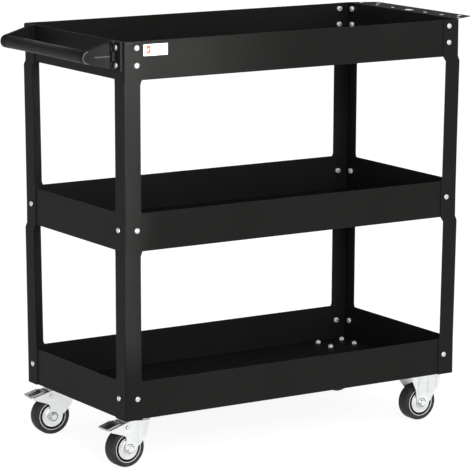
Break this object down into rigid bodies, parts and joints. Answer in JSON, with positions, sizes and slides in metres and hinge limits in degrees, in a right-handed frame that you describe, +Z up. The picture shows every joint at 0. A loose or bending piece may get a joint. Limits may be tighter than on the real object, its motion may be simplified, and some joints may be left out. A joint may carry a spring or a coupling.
{
  "type": "tool cart",
  "caption": "Open tray cart in folded sheet steel with corner posts, a tubular push handle, a perforated tool plate, braked swivel casters and fixed casters.",
  "frame": {"origin": "on the floor under the middle of the whole cart", "axes": "+Z up; +X along the cart's length from the push handle to the tool plate; -Y towards the long wall with the label"},
  "size_m": [0.9574, 0.4208, 0.8773],
  "materials": {
    "painted_black": "fine-textured powder coat, satin",
    "bracket_plastic": "moulded, satin",
    "tube_steel": "plain",
    "grip": "smooth sleeve, semi-gloss",
    "label": "printed film",
    "tyre": "matt",
    "rim": "moulded",
    "cover": "zinc plated, pressed",
    "pedal_steel": "plated, pressed",
    "ball_steel": "polished",
    "zinc": "bright zinc plated"
  },
  "bodies": {
    "frame": {"top_tray": "painted_black", "middle_tray": "painted_black", "bottom_tray": "painted_black", "post_front_left": "painted_black", "post_back_left": "painted_black", "post_front_right": "painted_black", "post_back_right": "painted_black", "tool_plate": "painted_black", "handle_bracket_front": "bracket_plastic", "handle_bracket_back": "bracket_plastic", "handle_tube": "tube_steel", "handle_grip": "grip", "tray_screws": "zinc", "handle_screws": "zinc", "tray_nuts": "zinc", "label_plate": "label", "caster_bolts": "zinc", "caster_nuts": "zinc", "caster_plate_front_left": "zinc", "kingpin_front_left": "zinc", "caster_plate_back_left": "zinc", "kingpin_back_left": "zinc", "fork_front_right": "zinc", "axle_bolt_front_right": "zinc", "axle_nut_front_right": "zinc", "axle_sleeve_front_right": "zinc", "fork_back_right": "zinc", "axle_bolt_back_right": "zinc", "axle_nut_back_right": "zinc", "axle_sleeve_back_right": "zinc"},
    "caster_front_left": {"fork_front_left": "zinc", "swivel_balls_front_left": "ball_steel", "brake_pin_front_left": "zinc", "axle_bolt_front_left": "zinc", "axle_nut_front_left": "zinc", "axle_sleeve_front_left": "zinc"},
    "pedal_front_left": {"brake_pedal_front_left": "pedal_steel"},
    "wheel_front_left": {"wheel_rim_front_left": "rim", "wheel_covers_front_left": "cover", "tyre_front_left": "tyre"},
    "caster_back_left": {"fork_back_left": "zinc", "swivel_balls_back_left": "ball_steel", "brake_pin_back_left": "zinc", "axle_bolt_back_left": "zinc", "axle_nut_back_left": "zinc", "axle_sleeve_back_left": "zinc"},
    "pedal_back_left": {"brake_pedal_back_left": "pedal_steel"},
    "wheel_back_left": {"wheel_rim_back_left": "rim", "wheel_covers_back_left": "cover", "tyre_back_left": "tyre"},
    "wheel_front_right": {"wheel_rim_front_right": "rim", "wheel_covers_front_right": "cover", "tyre_front_right": "tyre"},
    "wheel_back_right": {"wheel_rim_back_right": "rim", "wheel_covers_back_right": "cover", "tyre_back_right": "tyre"}
  },
  "joints": [
    {"name": "swivel_front_left", "type": "hinge", "parent": "frame", "child": "caster_front_left", "pos_m": [-0.3453, -0.155, 0.1], "axis": [0, 0, 1], "continuous": true},
    {"name": "spin_front_left", "type": "hinge", "parent": "caster_front_left", "child": "wheel_front_left", "pos_m": [-0.37726, -0.15668, 0.04], "axis": [-0.0523, 0.9986, 0], "continuous": true},
    {"name": "brake_front_left", "type": "hinge", "parent": "caster_front_left", "child": "pedal_front_left", "pos_m": [-0.38225, -0.15694, 0.085], "axis": [-0.0523, 0.9986, 0], "range_deg": [0, 12]},
    {"name": "swivel_back_left", "type": "hinge", "parent": "frame", "child": "caster_back_left", "pos_m": [-0.3453, 0.155, 0.1], "axis": [0, 0, 1], "continuous": true},
    {"name": "spin_back_left", "type": "hinge", "parent": "caster_back_left", "child": "wheel_back_left", "pos_m": [-0.37712, 0.15835, 0.04], "axis": [0.1045, 0.9945, 0], "continuous": true},
    {"name": "brake_back_left", "type": "hinge", "parent": "caster_back_left", "child": "pedal_back_left", "pos_m": [-0.3821, 0.15887, 0.085], "axis": [0.1045, 0.9945, 0], "range_deg": [0, 12]},
    {"name": "spin_front_right", "type": "hinge", "parent": "frame", "child": "wheel_front_right", "pos_m": [0.3617, -0.155, 0.04], "axis": [0, 1, 0], "continuous": true},
    {"name": "spin_back_right", "type": "hinge", "parent": "frame", "child": "wheel_back_right", "pos_m": [0.3617, 0.155, 0.04], "axis": [0, 1, 0], "continuous": true}
  ]
}
